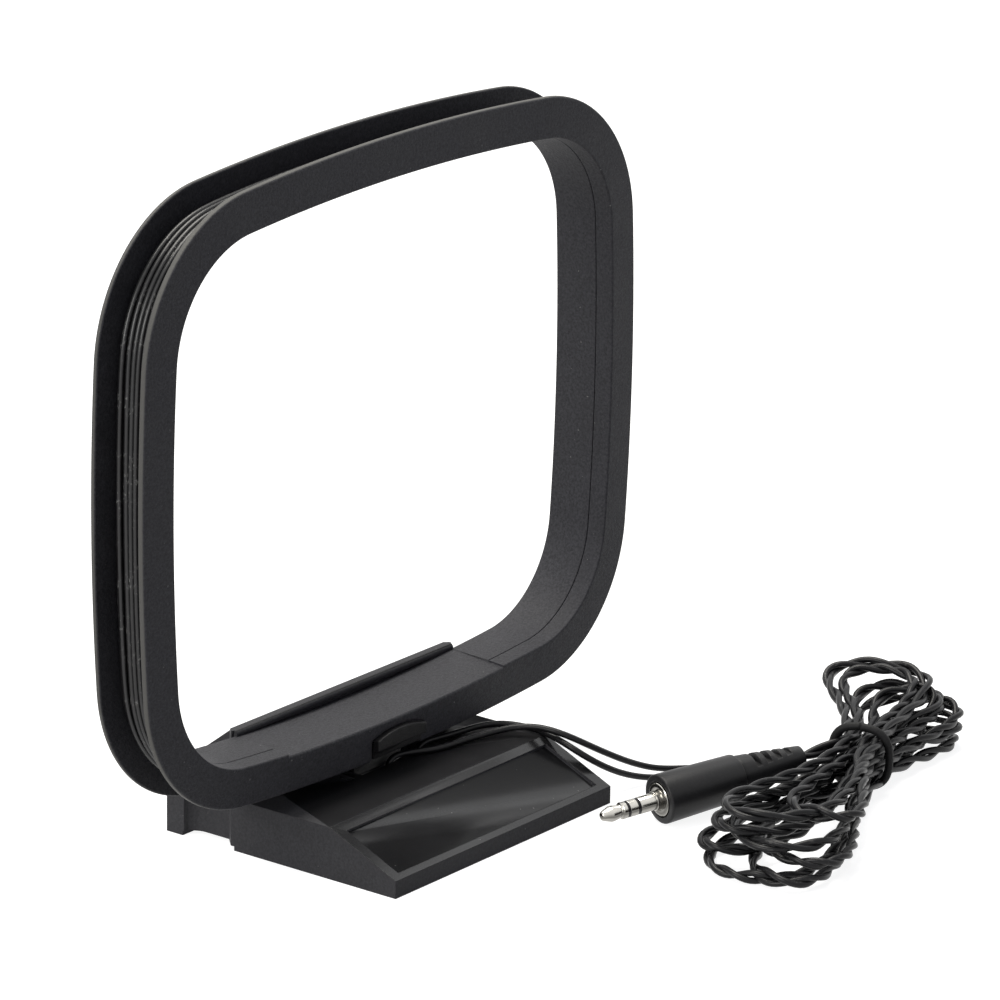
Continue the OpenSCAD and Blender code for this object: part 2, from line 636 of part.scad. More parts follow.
front_bobbin_half();
rear_bobbin_half();
loop_winding();
stand_base();
snap_claw();
lead_wire_left();
lead_wire_right();
cord_hank();
hank_tie();
plug_grip();
plug_strain_relief();
jack_collar();
jack_sleeve();
jack_ring();
jack_tip();
insulator_front();
insulator_rear();
conductor_tip();
conductor_sleeve();
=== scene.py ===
import math
import bpy
import bmesh
import numpy as np
from mathutils import Matrix, Vector


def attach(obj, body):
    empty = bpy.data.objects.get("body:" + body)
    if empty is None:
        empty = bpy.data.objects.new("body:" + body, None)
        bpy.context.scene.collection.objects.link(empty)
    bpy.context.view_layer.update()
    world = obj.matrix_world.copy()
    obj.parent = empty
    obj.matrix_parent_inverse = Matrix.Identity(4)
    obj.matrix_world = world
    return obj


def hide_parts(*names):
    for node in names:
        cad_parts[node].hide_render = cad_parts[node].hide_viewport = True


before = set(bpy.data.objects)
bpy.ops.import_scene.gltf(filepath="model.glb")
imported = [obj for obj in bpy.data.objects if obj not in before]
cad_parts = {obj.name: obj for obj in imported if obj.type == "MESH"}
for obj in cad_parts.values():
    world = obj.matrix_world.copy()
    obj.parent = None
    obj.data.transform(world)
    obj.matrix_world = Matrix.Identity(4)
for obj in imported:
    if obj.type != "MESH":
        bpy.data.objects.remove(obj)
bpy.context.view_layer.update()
scene = bpy.context.scene
scene.view_settings.view_transform = "Standard"
mm = 0.001
print("frame loaded")

# camera

cameraSetup = {
    "place": (-1107.0, -880.1, 533.9),  # mm
    "azimuth": -52.474,
    "elevation": 17.963,
    "roll": 0.893,
    "lens": 241.02,
    "sensor": 36.0,
    "clip": (0.05, 20),  # m
}


def addCamera(setup):
    a, e, r = (math.radians(setup[k]) for k in ("azimuth", "elevation", "roll"))
    back = Vector((math.sin(a) * math.cos(e), -math.cos(a) * math.cos(e), math.sin(e)))
    level = Vector((math.cos(a), math.sin(a), 0))
    upright = back.cross(level)
    right = level * math.cos(r) + upright * math.sin(r)
    up = upright * math.cos(r) - level * math.sin(r)
    data = bpy.data.cameras.new("photoCamera")
    data.lens = setup["lens"]
    data.sensor_width = setup["sensor"]
    data.clip_start, data.clip_end = setup["clip"]
    cam = bpy.data.objects.new("photoCamera", data)
    turn = Matrix((right, up, back)).transposed().to_4x4()
    cam.matrix_world = Matrix.Translation(Vector(setup["place"]) * mm) @ turn
    scene.collection.objects.link(cam)
    scene.camera = cam


addCamera(cameraSetup)
print("camera placed")

# finishes


class Nodes:  # short hand for building one material
    def __init__(self, name):
        self.mat = bpy.data.materials.new(name)
        self.mat.use_nodes = True
        self.tree = self.mat.node_tree
        self.shader = self.tree.nodes["Principled BSDF"]

    def add(self, kind, **values):
        node = self.tree.nodes.new(kind)
        for key, value in values.items():
            if key in node.inputs:
                node.inputs[key].default_value = value
            else:
                setattr(node, key, value)
        return node

    def join(self, a, b):
        self.tree.links.new(a, b)

    def place(self):
        return self.add("ShaderNodeTexCoord").outputs["Object"]

    def normal(self):
        return self.add("ShaderNodeNewGeometry").outputs["Normal"]

    def noise(self, at, scale, detail, roughness):
        node = self.add("ShaderNodeTexNoise", Scale=scale, Detail=detail, Roughness=roughness)
        self.join(at, node.inputs["Vector"])
        return node.outputs["Fac"]

    def ramp(self, source, stops):
        node = self.add("ShaderNodeValToRGB")
        band = node.color_ramp
        while len(band.elements) < len(stops):
            band.elements.new(0.5)
        for item, (at, value) in zip(band.elements, stops):
            item.position = at
            item.color = (*value, 1) if hasattr(value, "__len__") else (value, value, value, 1)
        self.join(source, node.inputs["Fac"])
        return node.outputs["Color"]

    def between(self, source, span, values):  # ramp with two stops
        return self.ramp(source, list(zip(span, values)))

    def mix(self, how, amount, a, b):
        node = self.add("ShaderNodeMix", data_type="RGBA", blend_type=how)
        for socket, value in ((node.inputs[0], amount), (node.inputs[6], a), (node.inputs[7], b)):
            if isinstance(value, bpy.types.NodeSocket):
                self.join(value, socket)
            elif hasattr(value, "__len__"):
                socket.default_value = (*value, 1)
            else:
                socket.default_value = value
        return node.outputs[2]

    def bump(self, height, strength, depth, normal=None):
        node = self.add("ShaderNodeBump", Strength=strength, Distance=depth)
        self.join(height, node.inputs["Height"])
        if normal is not None:
            self.join(normal, node.inputs["Normal"])
        return node.outputs["Normal"]

    def dress(self, **sources):  # what drives the shader's sockets
        for key, source in sources.items():
            self.join(source, self.shader.inputs[key])


def tone(color, lift):
    return tuple(min(1, c * lift) for c in color)


def mouldedPlastic(name, look):
    n = Nodes(name)
    place = n.place()
    cloud, grain, fleck = (n.noise(place, *look[key]) for key in ("cloud", "grain", "fleck"))
    base = look["color"]
    body = n.between(cloud, look["cloudSpan"], [tone(base, lift) for lift in look["vary"]])
    speckle = n.between(grain, look["grainSpan"], look["grainLift"])
    body = n.mix("MULTIPLY", look["grainTint"], body, speckle)
    bevel = n.add("ShaderNodeBevel", samples=look["edgeSamples"], Radius=look["edgeRound"] * mm)
    soft = bevel.outputs["Normal"]
    turned = n.add("ShaderNodeVectorMath", operation="DOT_PRODUCT")
    n.join(soft, turned.inputs[0])
    n.join(n.normal(), turned.inputs[1])
    paintedGlintMask = n.between(turned.outputs["Value"], look["edgeSpan"], (1.0, 0.0))  # where a surface turns over an edge
    # edges painted lighter: a painted highlight where the surface turns over an edge
    bodyWithPaintedEdges = n.mix("MIX", paintedGlintMask, body, tone(base, look["edgeHighlightLift"]))
    outer = n.add("ShaderNodeAttribute", attribute_name="rim").outputs["Fac"]  # 1 on the flanges' outer edges
    bodyWithPaintedEdges = n.mix("MIX", outer, bodyWithPaintedEdges, look["rimColor"])
    dust = n.between(fleck, look["fleckSpan"], (0.0, look["fleckAmount"]))
    normal = n.bump(grain, look["bump"], look["bumpDepth"], soft)
    if "sink" in look:  # moulded field that draws in a little across its width
        across = n.add("ShaderNodeSeparateXYZ")
        n.join(place, across.inputs[0])
        square = n.add("ShaderNodeMath", operation="MULTIPLY")
        for socket in (square.inputs[0], square.inputs[1]):
            n.join(across.outputs["X"], socket)
        normal = n.bump(square.outputs[0], 1.0, look["sink"], normal)
    n.dress(**{"Base Color": n.mix("MIX", dust, bodyWithPaintedEdges, look["fleckColor"]), "Normal": normal,
               "Roughness": n.between(cloud, look["roughSpan"], look["rough"])})
    n.shader.inputs["Specular IOR Level"].default_value = look["specular"]
    return n.mat


# cloud, grain and fleck are noises, each with its scale, detail and roughness
matBlack = {
    "color": (0.037, 0.037, 0.0415), "vary": (0.9, 1.1), "cloud": (60.0, 3.0, 0.6), "cloudSpan": (0.3, 0.7),
    "grain": (1700.0, 4.0, 0.65), "grainSpan": (0.35, 0.65), "grainLift": (0.7, 1.3), "grainTint": 1.0,
    "fleck": (1150.0, 1.0, 0.4), "fleckSpan": (0.785, 0.815), "fleckAmount": 0.6, "fleckColor": (0.2, 0.2, 0.195),
    "edgeRound": 0.22, "edgeSamples": 6, "edgeSpan": (0.8, 0.97), "edgeHighlightLift": 1.5, "rimColor": (0.086, 0.085, 0.081),
    "rough": (0.5, 0.62), "roughSpan": (0.25, 0.75), "bump": 1.0, "bumpDepth": 0.00014, "specular": 0.12,
}
standLook = dict(matBlack, color=(0.041, 0.041, 0.0445), grainTint=0.5, rough=(0.48, 0.58), bump=0.4,
                 specular=0.07, edgeRound=0.3, edgeHighlightLift=1.25)
panelLook = dict(standLook, color=(0.011, 0.011, 0.0118), grainTint=0.2, rough=(0.17, 0.25), bump=0.06,
                 specular=0.16, sink=0.7)
# painted shade: a darker copy of the stand's plastic for the deck and the slope's rims, also a little smoother
shadedDeckLook = dict(standLook, color=(0.010, 0.010, 0.011), grainTint=0.3, rough=(0.3, 0.38), bump=0.12, specular=0.12)
# the claw's edges are painted much lighter, a painted highlight along its arched top
clawLook = dict(standLook, color=(0.007, 0.007, 0.0078), rough=(0.36, 0.46), specular=0.2, edgeRound=0.5,
                edgeHighlightLift=2.2)
gripLook = dict(matBlack, color=(0.0115, 0.0115, 0.0125), grainTint=0.4, grain=(1400.0, 4.0, 0.65),
                rough=(0.36, 0.46), bump=0.14, fleckSpan=(0.85, 0.88), edgeHighlightLift=1.4, specular=0.22)
tieLook = dict(matBlack, color=(0.012, 0.012, 0.0125), grainTint=0.4, rough=(0.5, 0.6), bump=0.2, edgeHighlightLift=1.0)
insulatorLook = dict(gripLook, rough=(0.2, 0.26), bump=0.02)


def wireSkin(name, look):  # glossy insulation with pale flecks here and there, painted as broken highlights
    n = Nodes(name)
    along = n.add("ShaderNodeUVMap", uv_map="along").outputs["UV"]
    stretch = n.add("ShaderNodeMapping", Scale=look["streakScale"])
    n.join(along, stretch.inputs["Vector"])
    streak = n.noise(stretch.outputs["Vector"], *look["streak"])
    patch = n.noise(n.place(), *look["patch"])
    # pale flecks along the wire: painted highlights, broken along its length
    paintedGlintMask = n.between(streak, look["streakSpan"], (0.0, 1.0))
    where = n.between(patch, look["whereSpan"], (0.0, look["streakAmount"]))
    mark = n.mix("MULTIPLY", 1.0, paintedGlintMask, where)
    body = n.between(patch, look["patchSpan"], [tone(look["color"], lift) for lift in look["vary"]])
    n.dress(**{"Base Color": n.mix("MIX", mark, body, look["streakColor"]),
               "Roughness": n.between(streak, look["roughSpan"], look["rough"]),
               "Normal": n.bump(streak, look["bump"], look["bumpDepth"])})
    n.shader.inputs["Specular IOR Level"].default_value = look["specular"]
    return n.mat


windingSkinLook = {
    "color": (0.0085, 0.0085, 0.0092), "vary": (0.85, 1.2), "patch": (130.0, 2.0, 0.5), "patchSpan": (0.3, 0.7),
    "streak": (1.0, 3.0, 0.7), "streakScale": (900.0, 5.0, 1.0), "streakSpan": (0.57, 0.63), "whereSpan": (0.5, 0.66),
    "streakAmount": 0.55, "streakColor": (0.3, 0.3, 0.29),
    "rough": (0.28, 0.4), "roughSpan": (0.3, 0.7), "bump": 0.25, "bumpDepth": 0.00008, "specular": 0.4,
}
cordSkinLook = dict(windingSkinLook, color=(0.0085, 0.0085, 0.0095), streakScale=(420.0, 6.0, 1.0),
                    streakAmount=0.2, rough=(0.27, 0.38), bump=0.12, specular=0.18)


def nickelPlate(name, look):
    n = Nodes(name)
    haze = n.noise(n.place(), *look["haze"])
    plate = n.between(haze, look["hazeSpan"], [tone(look["color"], lift) for lift in look["vary"]])
    # painted reflection: the colour is made pale above and darker round the middle by which way the surface faces
    facing = n.add("ShaderNodeSeparateXYZ")
    n.join(n.normal(), facing.inputs[0])
    span = n.add("ShaderNodeMapRange")
    span.inputs["From Min"].default_value = -1.0
    n.join(facing.outputs["Z"], span.inputs["Value"])
    paintedReflection = n.ramp(span.outputs["Result"], look["paintedReflection"])  # pale above, darker round the middle
    n.dress(**{"Base Color": n.mix("MULTIPLY", 1.0, plate, paintedReflection),
               "Roughness": n.between(haze, look["hazeSpan"], look["rough"])})
    n.shader.inputs["Metallic"].default_value = 1.0
    return n.mat


nickelLook = {
    "color": (0.74, 0.72, 0.67), "vary": (0.9, 1.0), "haze": (700.0, 4.0, 0.7), "hazeSpan": (0.3, 0.7),
    "rough": (0.14, 0.24),
    "paintedReflection": [(0.0, 0.6), (0.3, 0.5), (0.45, 0.16), (0.56, 0.28), (0.68, 0.72), (0.85, 0.98), (1.0, 0.8)],
}
copperLook = dict(nickelLook, color=(0.62, 0.33, 0.19), haze=(900.0, 4.0, 0.7), rough=(0.25, 0.4))

finish = {
    "bobbin": mouldedPlastic("bobbinBlack", matBlack),
    "stand": mouldedPlastic("standCharcoal", standLook),
    "panel": mouldedPlastic("panelGloss", panelLook),
    "deck": mouldedPlastic("deckSmoothShaded", shadedDeckLook),
    "claw": mouldedPlastic("clawGloss", clawLook),
    "grip": mouldedPlastic("gripSatin", gripLook),
    "tie": mouldedPlastic("tieBand", tieLook),
    "winding": wireSkin("windingSkin", windingSkinLook),
    "cord": wireSkin("cordSkin", cordSkinLook),
    "nickel": nickelPlate("nickelPlate", nickelLook),
    "copper": nickelPlate("bareCopper", copperLook),
    "insulator": mouldedPlastic("insulatorGloss", insulatorLook),
}
print("finishes made")

# lines

steepest = 0.9  # a line that starts steeper than this gets its frame from the side


def runAlong(points):  # length from the first point to each one
    return np.concatenate([[0], np.cumsum(np.linalg.norm(np.diff(points, axis=0), axis=1))])


def evenly(points, step):  # same line with points a fixed step apart
    p = np.asarray(points, float)
    run = runAlong(p)
    count = max(2, int(round(run[-1] / step)) + 1)
    at = np.linspace(0, run[-1], count)
    return np.stack([np.interp(at, run, p[:, k]) for k in range(3)], axis=1)


def smoothRoute(points, per):  # through every point, rounded between
    p = np.asarray(points, float)
    out = []
    for i in range(len(p) - 1):
        a, b, c, d = p[max(i - 1, 0)], p[i], p[i + 1], p[min(i + 2, len(p) - 1)]
        for k in range(per):
            u = k / per
            out.append(0.5 * (2 * b + (c - a) * u + (2 * a - 5 * b + 4 * c - d) * u * u
                              + (3 * b - a - 3 * c + d) * u ** 3))
    out.append(p[-1])
    return np.array(out)


def relaxed(points, rounds):  # takes kinks out, ends stay
    p = np.array(points, float)
    for _ in range(rounds):
        p[1:-1] = 0.5 * p[1:-1] + 0.25 * (p[:-2] + p[2:])
    return p


def lineFrames(points):
    p = np.asarray(points, float)
    t = np.gradient(p, axis=0)
    t /= np.linalg.norm(t, axis=1)[:, None]
    n = np.zeros_like(t)
    first = np.array([0, 0, 1.0]) if abs(t[0][2]) < steepest else np.array([1.0, 0, 0])
    for i in range(len(p)):
        n[i] = first - (first @ t[i]) * t[i]
        n[i] /= np.linalg.norm(n[i])
        first = n[i]
    return t, n, np.cross(t, n)


# meshes

weldWithin = 2e-6  # m


def placed(name, mesh, mat):
    piece = bpy.data.objects.new(name, mesh)
    scene.collection.objects.link(piece)
    mesh.materials.clear()
    mesh.materials.append(mat)
    return piece


def newPiece(name, verts, faces, mat, smooth=True):
    mesh = bpy.data.meshes.new(name)
    mesh.from_pydata([tuple(v) for v in verts], [], faces)
    mesh.update()
    if smooth:
        mesh.shade_smooth()
    return placed(name, mesh, mat)


def bandFaces(rows, around, closed):  # quads between rings of points
    def corner(i, j):
        return i % rows * around + j % around

    return [(corner(i, j), corner(i, j + 1), corner(i + 1, j + 1), corner(i + 1, j))
            for i in range(rows if closed else rows - 1) for j in range(around)]


def facedOutward(piece):
    bm = bmesh.new()
    bm.from_mesh(piece.data)
    bmesh.ops.recalc_face_normals(bm, faces=bm.faces)
    bm.to_mesh(piece.data)
    bm.free()


def tubePiece(name, points, spec, mat):  # points in mm
    p = np.asarray(points, float)
    t, n, b = lineFrames(p)
    count, sides, radius = len(p), spec["sides"], spec["wire"] / 2
    ring = np.linspace(0, 2 * math.pi, sides, endpoint=False)
    out = np.cos(ring)[None, :, None] * n[:, None, :] + np.sin(ring)[None, :, None] * b[:, None, :]
    verts = (p[:, None, :] + radius * out).reshape(-1, 3) * mm
    faces = [f[::-1] for f in bandFaces(count, sides, False)]
    faces.append(tuple(range(sides)))
    faces.append(tuple(reversed(range((count - 1) * sides, count * sides))))
    piece = newPiece(name, verts, faces, mat)
    run = runAlong(p) * mm
    uv = np.zeros((len(piece.data.loops), 2))
    for k in range((count - 1) * sides):
        i, j = divmod(k, sides)
        corners = ((i + 1, j), (i + 1, j + 1), (i, j + 1), (i, j))
        uv[4 * k:4 * k + 4] = [(run[u], v / sides) for u, v in corners]
    piece.data.uv_layers.new(name="along").data.foreach_set("uv", uv.ravel())
    return piece


def weldedSolid(node):
    source = bpy.data.objects[node]
    bm = bmesh.new()
    bm.from_mesh(source.data)
    bm.transform(source.matrix_world)
    bmesh.ops.remove_doubles(bm, verts=bm.verts, dist=weldWithin)
    return bm


def standIn(bm, node, name, mat):  # piece that takes the CAD one's place
    mesh = bpy.data.meshes.new(name)
    bm.to_mesh(mesh)
    bm.free()
    mesh.shade_smooth()
    piece = placed(name, mesh, mat)
    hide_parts(node)
    return piece


def roundedSolid(node, name, mat, spec, cutAt, cutWay):  # CAD piece, edges rounded over
    bm = weldedSolid(node)
    every = bm.verts[:] + bm.edges[:] + bm.faces[:]
    cut = bmesh.ops.bisect_plane(bm, geom=every, plane_co=cutAt, plane_no=cutWay, dist=1e-6)
    for item in cut["geom_cut"]:  # keeps ring shaped faces in two halves
        if isinstance(item, bmesh.types.BMEdge):
            item.seam = True
    bmesh.ops.dissolve_limit(bm, angle_limit=math.radians(spec["flat"]), verts=bm.verts, edges=bm.edges,
                             delimit={"SEAM"})
    piece = standIn(bm, node, name, mat)
    edge = piece.modifiers.new("edges", "BEVEL")
    edge.width, edge.segments = spec["round"] * mm, spec["segments"]
    edge.limit_method = "ANGLE"
    edge.angle_limit = math.radians(spec["angle"])
    edge.use_clamp_overlap = True
    edge.harden_normals = True
    edge.miter_outer = "MITER_ARC"
    return piece


def plainSolid(node, name, mat, sharp):  # CAD piece as it is, with its flat faces kept flat
    piece = standIn(weldedSolid(node), node, name, mat)
    piece.data.set_sharp_from_angle(angle=math.radians(sharp))
    return piece


def flatNormals(piece, sharp, weight):  # big faces stay flat beside small rounds
    piece.data.shade_smooth()
    piece.data.set_sharp_from_angle(angle=math.radians(sharp))
    even = piece.modifiers.new("evenNormals", "WEIGHTED_NORMAL")
    even.keep_sharp = True
    even.weight = weight


def carved(piece, cutter):  # takes the cutter's shape out of the piece
    cut = piece.modifiers.new("carve", "BOOLEAN")
    cut.operation, cut.solver, cut.object = "DIFFERENCE", "EXACT", cutter
    bpy.context.view_layer.update()
    mesh = bpy.data.meshes.new_from_object(piece.evaluated_get(bpy.context.evaluated_depsgraph_get()))
    piece.modifiers.clear()
    piece.data = mesh
    bpy.data.objects.remove(cutter)


# leads and hank

leadSpec = {
    "wire": 1.5,  # mm over the insulation
    "sides": 10, "per": 8, "step": 1.0, "rounds": 3, "above": 0.02,
    "left": [(1.5, 2.125, 10.5), (1.5, 2.125, 11.75), (2.1, 2.125, 12.7), (4, 1.825, 13.3), (8.5, 0, 13.2),
             (14, -2.4, 12.95), (22.5, -3.9, 13.1), (29, -6, 13.5), (33.5, -8.6, 14.1), (35.8, -12.5, 14.6),
             (36.6, -17, 14.7), (38.6, -21.5, 13.4), (43, -25, 10.4), (49.5, -27.3, 6.6), (56, -28.8, 3.4),
             (62, -31, 1.4), (71, -37.5, 0.68), (79.5, -46, 0.68)],
    "leftIn": [(6.5, 17, 0.68), (0.5, 13.6, 1), (-3.6, 10.1, 1.7), (-5.8, 7.4, 2.4)],  # in the hank's own frame
    "right": [(11.9, 2.125, 10.5), (11.9, 2.125, 11.75), (12.3, 2.125, 12.7), (13.4, 2.075, 13.35), (16.5, 1.9, 13.3),
              (23, 1.2, 12.93), (31.8, -0.6, 13.1), (36.2, -3.6, 13.2), (38, -8, 13.1), (38.4, -13, 13),
              (37.8, -18, 12.5), (37.3, -22.5, 11.6), (39, -26, 9.4), (44, -28.6, 5.9), (50, -30.4, 3),
              (56.5, -32.8, 1.2), (65, -38.2, 0.68), (74.5, -47, 0.68)],
    "rightIn": [(2.5, 17.5, 0.68), (-2.2, 14.4, 1), (-5, 11.5, 2.1), (-6.6, 8.9, 3)],
}
hankSpec = {
    "centre": (82.4, -71.9), "turn": 18.0,  # mm and degrees on the table
    "start": 100.0, "loops": 8, "layers": 4, "climb": 0.12, "step": 3.15, "base": 1.4, "raise": 1.7,
    "left": 58.0, "right": 47.0, "reachStep": 3.25, "slide": 2.0,  # how far the loops go to each side
    "lobe": 18.0, "lobeStep": 6.0, "middle": 0.75, "waist": 1.75,  # how wide they are
    "bowLeft": 325.0, "bowRight": 195.0, "fan": 4.6, "fanTurn": 69.0, "fanStart": 200.0, "fanClimb": 0.1,
    "wider": (-0.1, -0.25, -0.1, -0.3, -0.05, -0.2, -0.05, -0.25, -0.15, -0.3, -0.1, -0.25, 0.1, -0.2, -0.15, -0.2),
    "shorter": (0.0, 0.18, -0.06, 0.18, -0.04, 0.2, 0.0, 0.22, -0.02, 0.2, -0.06, 0.25, 0.06, 0.2, -0.07, 0.2),
    "lift": (0.0, 0.0, 1.0, 3.0, 0.0, 1.5, 1.5, 5.0, 1.5, 4.0, 2.5, 5.5, 2.5, 4.5, 4.0, 5.0),
    "swing": (0.0, -8.0, 9.0, -1.0, -6.0, -10.0, 14.0, -4.0, 5.0, 0.0, -3.0, -6.0, 8.0, 2.0, -6.0, 3.0),
    "perLoop": 96, "cutShort": 1 / 24, "ahead": 0.002,  # points on a loop, and what the last one lacks
    "pair": 2.6, "leave": 5.0, "enter": 3.0, "intoPlug": 0.3, "bend": (0.06, 0.96, 16), "rounds": 4, "pointStep": 1.1,
}
twistSpec = {  # how the two wires turn round each other
    "lay": 17.0, "layDrift": 0.3, "offset": 0.76, "offsetDrift": 0.12, "closeStart": 6.0, "closeEnd": 8.0,
    "slow": (37.0, 0.6), "slower": (91.0, 0.0), "quick": (13.7, 2.0), "quickShare": 0.5,  # waves, mm and phase
    "gape": (17.0, 1.1), "flutter": (5.3, 0.0),
}
loosening = {
    "rounds": 60, "again": 6, "apart": 1.5, "near": 1.6, "skip": 6, "push": 1.3, "spread": 3, "keep": 0.6, "still": 8,
    "settle": 3, "block": 400,
}
plugSpec = {"shoulder": (35.4, -49.1, 5.8021), "turn": -20.0, "tilt": 4.5, "length": 38.5}


def plugLine(spec):  # shoulder, direction and cord end
    a, e = math.radians(spec["turn"]), math.radians(spec["tilt"])
    way = np.array([math.cos(e) * math.cos(a), math.cos(e) * math.sin(a), math.sin(e)])
    shoulder = np.array(spec["shoulder"])
    return shoulder, way, shoulder + spec["length"] * way


def hankPlace(spec, v):
    a = math.radians(spec["turn"])
    return np.array([spec["centre"][0] + v[0] * math.cos(a) - v[1] * math.sin(a),
                     spec["centre"][1] + v[0] * math.sin(a) + v[1] * math.cos(a), v[2]])


def climbed(spec, u, window):  # layer that the cord lies in
    perLayer = spec["loops"] / spec["layers"]
    k = math.floor(u / perLayer + 0.5)
    if k <= 0:
        return 0
    if k >= spec["layers"]:
        return spec["layers"] - 1
    x = min(1, max(0, (u - k * perLayer) / window + 0.5))
    return k - 1 + x * x * (3 - 2 * x)


def hankLocal(spec, u):  # where the cord is after u loops
    perLayer = spec["loops"] / spec["layers"]
    m = u % (2 * perLayer)
    r = perLayer - m if m < perLayer else m - perLayer  # shrinks through one layer and grows through the next
    t = math.radians(spec["start"] + 360 * u)
    c, s = math.cos(t), math.sin(t)
    layer = climbed(spec, u, spec["climb"])
    lean = spec["slide"] * (layer - (spec["layers"] - 1) / 2)
    k = int((math.degrees(t) + 90) // 180) - 1  # half loop that the point lies on, each a little different
    odd = {key: spec[key][k % len(spec[key])] for key in ("shorter", "wider", "lift", "swing")}
    bias = c * c
    side = spec["right"] + lean if c > 0 else spec["left"] - lean
    reach = (side + spec["reachStep"] * r) * (1 - odd["shorter"] * bias)
    wide = (spec["lobe"] + spec["lobeStep"] * r) * (1 + odd["wider"] * bias)
    spread = math.radians(spec["fanTurn"] * climbed(spec, u, spec["fanClimb"]) + spec["fanStart"])
    a = math.radians(spec["fan"] * math.sin(spread) + odd["swing"] * abs(c))
    x = reach * c * math.cos(a)
    y = s * (spec["middle"] + spec["waist"] * r + wide * bias) + reach * c * math.sin(a)
    z = spec["base"] + spec["step"] * layer + spec["raise"] * (s * s) ** 4 + odd["lift"] * bias
    bow = spec["bowRight"] if x > 0 else spec["bowLeft"]
    return np.array([(bow - y) * math.sin(x / bow), bow - (bow - y) * math.cos(x / bow), z])


def hankLine(spec, plug):  # middle of the pair, from the leads to the plug
    last = spec["loops"] - spec["cutShort"]
    loops = np.arange(0, last + 1e-9, 1 / spec["perLoop"])
    turns = np.array([hankPlace(spec, hankLocal(spec, u)) for u in loops])
    first = turns[0] - spec["pair"] * (turns[1] - turns[0]) / np.linalg.norm(turns[1] - turns[0])
    _, way, end = plugLine(plug)
    a, d = turns[-1], end + spec["pair"] * way
    out = hankPlace(spec, hankLocal(spec, last + spec["ahead"])) - turns[-1]
    out /= np.linalg.norm(out)
    b, c = a + spec["leave"] * out, d + spec["enter"] * way
    bend = [a * (1 - u) ** 3 + 3 * b * u * (1 - u) ** 2 + 3 * c * u * u * (1 - u) + d * u ** 3
            for u in np.linspace(*spec["bend"])]
    return np.concatenate([[first], turns, bend, [d, end, end - spec["intoPlug"] * way]])


def wave(run, long, phase):
    return np.sin(run / long + phase)


def strand(lead, hank, twist, line, key):  # one wire, from the deck through the hank to the plug
    t, n, b = lineFrames(line)
    run = runAlong(line)
    flat = np.cross([0, 0, 1.0], t[0])
    begin = math.atan2(flat @ b[0], flat @ n[0]) + (0 if key == "left" else math.pi)
    slow, slower, quick, gape, flutter = (
        wave(run, *twist[k]) for k in ("slow", "slower", "quick", "gape", "flutter"))
    pace = 1 + twist["layDrift"] * (slow * slower + twist["quickShare"] * quick)
    turned = np.concatenate([[0], np.cumsum(np.diff(run) * pace[1:])])
    angle = begin + 2 * math.pi / twist["lay"] * turned
    loose = np.clip(run / twist["closeStart"], 0, 1) * np.clip((run[-1] - run) / twist["closeEnd"], 0, 1)
    out = twist["offset"] + twist["offsetDrift"] * loose * (1 + gape * flutter)
    helix = line + out[:, None] * (np.cos(angle)[:, None] * n + np.sin(angle)[:, None] * b)
    inner = [hankPlace(hank, v) for v in lead[key + "In"]]
    route = lead[key] + inner + [helix[0] - lead["wire"] * t[0], helix[0]]
    route = evenly(smoothRoute(route, lead["per"]), lead["step"])
    return relaxed(np.concatenate([route[:-1], helix]), lead["rounds"])


def nearPairs(p, owner, spec):  # points of the wires that could touch
    near = spec["apart"] * spec["near"]
    rows = []
    for at in range(0, len(p), spec["block"]):
        gap = ((p[at:at + spec["block"], None, :] - p[None, :, :]) ** 2).sum(axis=2)
        i, j = np.nonzero(gap < near * near)
        i = i + at
        keep = (j > i) & ((owner[i] != owner[j]) | (j - i > spec["skip"]))
        rows.append(np.stack([i[keep], j[keep]], axis=1))
    return np.concatenate(rows)


def loosened(lines, spec, low):  # eases the wires apart, so that they lie on each other
    start = np.concatenate(lines)
    counts = [len(v) for v in lines]
    owner = np.repeat(np.arange(len(lines)), counts)
    free = np.ones(len(start))
    ends = np.cumsum(counts)
    for a, b in zip(ends - counts, ends):
        free[a:a + spec["still"]] = 0
        free[b - spec["still"]:b] = 0
    shift = np.zeros_like(start)
    for k in range(spec["rounds"]):
        p = start + shift
        if k % spec["again"] == 0:
            pairs = nearPairs(p, owner, spec)
        a, b = pairs[:, 0], pairs[:, 1]
        d = p[b] - p[a]
        long = np.linalg.norm(d, axis=1) + 1e-9
        over = np.clip(spec["apart"] - long, 0, None)
        push = (0.5 * over / long)[:, None] * d
        move, count = np.zeros_like(p), np.zeros(len(p))
        for at, sign in ((a, -1), (b, 1)):
            np.add.at(move, at, sign * push)
            np.add.at(count, at, over > 0)
        shift += spec["push"] * (move / np.maximum(1, count)[:, None]) * free[:, None]
        for _ in range(spec["spread"]):
            mean = 0.5 * (np.roll(shift, 1, axis=0) + np.roll(shift, -1, axis=0))
            shift = (spec["keep"] * shift + (1 - spec["keep"]) * mean) * free[:, None]
        shift[:, 2] = np.maximum(start[:, 2] + shift[:, 2], low) - start[:, 2]
    return np.split(start + shift, ends[:-1])


hankCentre = evenly(relaxed(hankLine(hankSpec, plugSpec), hankSpec["rounds"]), hankSpec["pointStep"])
strands = {}
for key in ("left", "right"):
    strands[key] = strand(leadSpec, hankSpec, twistSpec, hankCentre, key)
    print("strand", key, len(strands[key]), "points")
eased = loosened(list(strands.values()), loosening, leadSpec["wire"] / 2 + leadSpec["above"])
strands = {key: relaxed(line, loosening["settle"]) for key, line in zip(strands, eased)}

cordPieces = {}
for key, points in strands.items():
    cordPieces[key] = tubePiece("leadStrand" + key.capitalize(), points, leadSpec, finish["cord"])
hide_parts("lead_wire_left", "cord_hank")
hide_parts("lead_wire_right")
print("cord strands laid")

# tie round the waist of the hank

